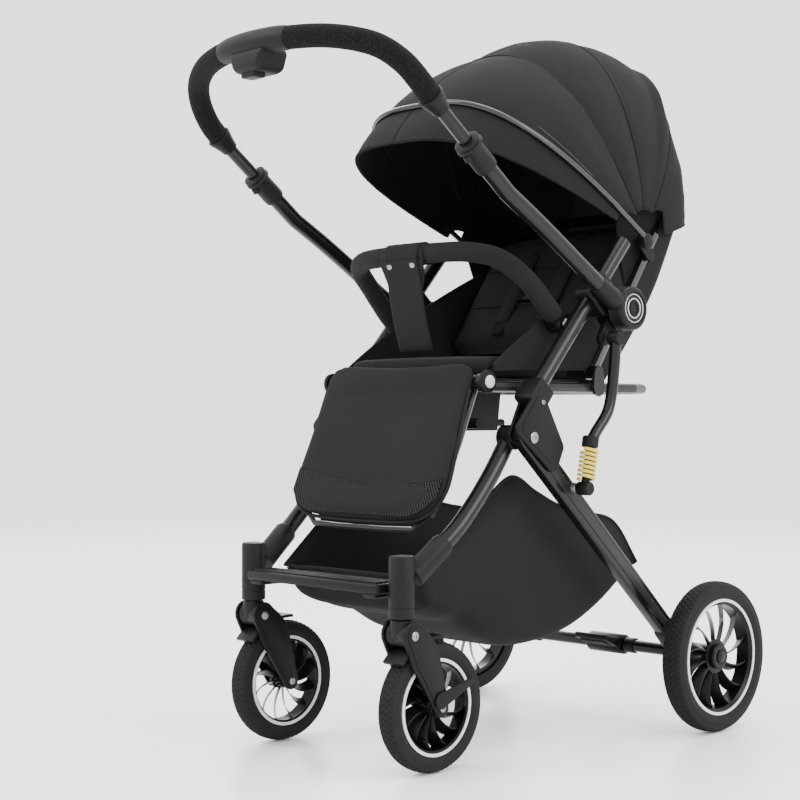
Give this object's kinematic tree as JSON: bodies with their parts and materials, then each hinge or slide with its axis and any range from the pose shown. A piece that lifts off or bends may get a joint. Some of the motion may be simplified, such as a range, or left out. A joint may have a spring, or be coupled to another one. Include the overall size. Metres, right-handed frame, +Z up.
{
  "type": "baby stroller",
  "caption": "Folding baby stroller with swivel front wheels, padded seat, bumper bar, fabric canopy and a telescopic handle that flips over to the other side.",
  "frame": {"origin": "on the floor, under the middle of the whole outline with the stroller open and the handle over the front", "axes": "+Z up; -Y is the way the child faces, towards the swivel wheels and the handle as stored; +X is the stroller's left side"},
  "size_m": [0.554, 0.8393, 1.0895],
  "materials": {
    "gunmetal_tube": "glossy dark anodised",
    "grey_metal": "satin grey",
    "black_plastic": "fine-grained satin",
    "grey_plastic": "satin",
    "rim_plastic": "semi-gloss",
    "tyre": "matt with a diamond tread",
    "grip_foam": "fine-speckled foam sleeve",
    "seat_fabric": "plain weave polyester",
    "canopy_fabric": "plain weave polyester",
    "basket_fabric": "open mesh and plain weave",
    "spring_coat": "pale yellow coating"
  },
  "bodies": {
    "frame": {"main_tube_left": "gunmetal_tube", "main_tube_right": "gunmetal_tube", "cross_bracket_left": "black_plastic", "cross_bracket_right": "black_plastic", "hub_mount_left": "black_plastic", "hub_mount_right": "black_plastic", "seat_rail": "grey_metal", "seat_board": "black_plastic", "seat_cushion": "seat_fabric", "side_wing_left": "seat_fabric", "side_wing_right": "seat_fabric", "crotch_strap": "seat_fabric"},
    "pull_handle": {"pull_handle": "black_plastic"},
    "rear_legs": {"rear_leg_left": "gunmetal_tube", "rear_leg_right": "gunmetal_tube", "rear_axle": "grey_metal", "basket": "basket_fabric"},
    "brake_pedal": {"brake_pedal": "black_plastic"},
    "front_legs": {"front_leg_left": "gunmetal_tube", "front_leg_right": "gunmetal_tube", "caster_housing_left": "black_plastic", "caster_housing_right": "black_plastic", "foot_tray": "black_plastic"},
    "footrest": {"footrest_frame": "grey_metal", "footrest_pad": "seat_fabric"},
    "bumper_bar": {"bumper_bar": "grip_foam"},
    "back": {"back_frame": "gunmetal_tube", "back_cushion": "seat_fabric", "harness": "seat_fabric", "canopy_mount_left": "black_plastic", "canopy_mount_right": "black_plastic", "canopy_rear": "canopy_fabric"},
    "canopy_middle": {"canopy_middle": "canopy_fabric"},
    "canopy_front": {"canopy_front": "canopy_fabric", "canopy_bow": "gunmetal_tube"},
    "handle": {"handle_arm_left": "gunmetal_tube", "handle_arm_right": "gunmetal_tube"},
    "handle_top": {"handle_leg_left": "gunmetal_tube", "handle_leg_right": "gunmetal_tube", "handle_foam": "grip_foam", "handle_grip": "black_plastic"},
    "handle_button": {"handle_button": "grey_plastic"},
    "link_left": {"suspension_link_left": "gunmetal_tube", "coil_spring_left": "spring_coat"},
    "rear_wheel_left": {"rear_rim_left": "rim_plastic", "rear_tyre_left": "tyre"},
    "caster_left": {"caster_head_left": "black_plastic"},
    "fork_left": {"caster_fork_left": "black_plastic"},
    "front_wheel_left": {"front_rim_left": "rim_plastic", "front_tyre_left": "tyre"},
    "bumper_button_left": {"bumper_button_left": "grey_plastic"},
    "link_right": {"suspension_link_right": "gunmetal_tube", "coil_spring_right": "spring_coat"},
    "rear_wheel_right": {"rear_rim_right": "rim_plastic", "rear_tyre_right": "tyre"},
    "caster_right": {"caster_head_right": "black_plastic"},
    "fork_right": {"caster_fork_right": "black_plastic"},
    "front_wheel_right": {"front_rim_right": "rim_plastic", "front_tyre_right": "tyre"},
    "bumper_button_right": {"bumper_button_right": "grey_plastic"}
  },
  "joints": [
    {"name": "fold", "type": "hinge", "parent": "frame", "child": "rear_legs", "pos_m": [0, -0.06645, 0.455], "axis": [1, 0, 0], "range_deg": [0, 70]},
    {"name": "front_legs_fold", "type": "hinge", "parent": "rear_legs", "child": "front_legs", "pos_m": [0, -0.06645, 0.455], "axis": [1, 0, 0], "range_deg": [0, 34], "deforming": ["basket"]},
    {"name": "brake_pedal_press", "type": "hinge", "parent": "rear_legs", "child": "brake_pedal", "pos_m": [0, 0.30455, 0.115], "axis": [1, 0, 0], "range_deg": [0, 18]},
    {"name": "handle_flip", "type": "hinge", "parent": "frame", "child": "handle", "pos_m": [0, 0.13555, 0.645], "axis": [-1, 0, 0], "range_deg": [0, 96]},
    {"name": "handle_telescope", "type": "slide", "parent": "handle", "child": "handle_top", "axis": [0, -0.7986, 0.6018], "range_m": [-0.055, 0]},
    {"name": "handle_button_press", "type": "slide", "parent": "handle_top", "child": "handle_button", "axis": [0, 0, 1], "range_m": [0, 0.003], "stiffness_N_per_m": 400, "springref_m": -0.002},
    {"name": "back_recline", "type": "hinge", "parent": "frame", "child": "back", "pos_m": [0, 0.13555, 0.55], "axis": [1, 0, 0], "range_deg": [-28, 12]},
    {"name": "canopy_fold", "type": "hinge", "parent": "back", "child": "canopy_middle", "pos_m": [0, 0.24555, 0.757], "axis": [-1, 0, 0], "range_deg": [0, 22]},
    {"name": "canopy_front_fold", "type": "hinge", "parent": "canopy_middle", "child": "canopy_front", "pos_m": [0, 0.24555, 0.757], "axis": [-1, 0, 0], "range_deg": [0, 22]},
    {"name": "footrest_lift", "type": "hinge", "parent": "frame", "child": "footrest", "pos_m": [0, -0.10545, 0.534], "axis": [-1, 0, 0], "range_deg": [0, 60]},
    {"name": "bumper_lift", "type": "hinge", "parent": "frame", "child": "bumper_bar", "pos_m": [0, 0.04555, 0.622], "axis": [-1, 0, 0], "range_deg": [0, 35]},
    {"name": "pull_handle_draw", "type": "slide", "parent": "frame", "child": "pull_handle", "axis": [0, -1, 0], "range_m": [0, 0.04]},
    {"name": "link_left_swing", "type": "hinge", "parent": "frame", "child": "link_left", "pos_m": [0.23, 0.10155, 0.6], "axis": [1, 0, 0], "range_deg": [-21, 0]},
    {"name": "rear_wheel_left_spin", "type": "hinge", "parent": "rear_legs", "child": "rear_wheel_left", "pos_m": [0.259, 0.30455, 0.115], "axis": [1, 0, 0], "continuous": true},
    {"name": "caster_left_swivel", "type": "hinge", "parent": "front_legs", "child": "caster_left", "pos_m": [0.157, -0.26845, 0.2], "axis": [0, 0, 1], "continuous": true},
    {"name": "fork_left_spring", "type": "hinge", "parent": "caster_left", "child": "fork_left", "pos_m": [0.157, -0.26645, 0.192], "axis": [1, 0, 0], "range_deg": [0, 5], "stiffness_Nm_per_rad": 30, "springref_deg": -6.88},
    {"name": "front_wheel_left_spin", "type": "hinge", "parent": "fork_left", "child": "front_wheel_left", "pos_m": [0.157, -0.21345, 0.0895], "axis": [1, 0, 0], "continuous": true},
    {"name": "bumper_button_left_press", "type": "slide", "parent": "bumper_bar", "child": "bumper_button_left", "axis": [1, 0, 0], "range_m": [0, 0.003], "stiffness_N_per_m": 400, "springref_m": -0.002},
    {"name": "link_right_swing", "type": "hinge", "parent": "frame", "child": "link_right", "pos_m": [-0.23, 0.10155, 0.6], "axis": [1, 0, 0], "range_deg": [-21, 0]},
    {"name": "rear_wheel_right_spin", "type": "hinge", "parent": "rear_legs", "child": "rear_wheel_right", "pos_m": [-0.259, 0.30455, 0.115], "axis": [1, 0, 0], "continuous": true},
    {"name": "caster_right_swivel", "type": "hinge", "parent": "front_legs", "child": "caster_right", "pos_m": [-0.157, -0.26845, 0.2], "axis": [0, 0, 1], "continuous": true},
    {"name": "fork_right_spring", "type": "hinge", "parent": "caster_right", "child": "fork_right", "pos_m": [-0.157, -0.26645, 0.192], "axis": [1, 0, 0], "range_deg": [0, 5], "stiffness_Nm_per_rad": 30, "springref_deg": -6.88},
    {"name": "front_wheel_right_spin", "type": "hinge", "parent": "fork_right", "child": "front_wheel_right", "pos_m": [-0.157, -0.21345, 0.0895], "axis": [1, 0, 0], "continuous": true},
    {"name": "bumper_button_right_press", "type": "slide", "parent": "bumper_bar", "child": "bumper_button_right", "axis": [-1, 0, 0], "range_m": [0, 0.003], "stiffness_N_per_m": 400, "springref_m": -0.002}
  ],
  "couplings": [
    {"joint": "front_legs_fold", "follows": "fold", "ratio": 0.48571},
    {"joint": "link_left_swing", "follows": "fold", "ratio": -0.3},
    {"joint": "link_right_swing", "follows": "fold", "ratio": -0.3},
    {"joint": "canopy_front_fold", "follows": "canopy_fold", "ratio": 1}
  ]
}
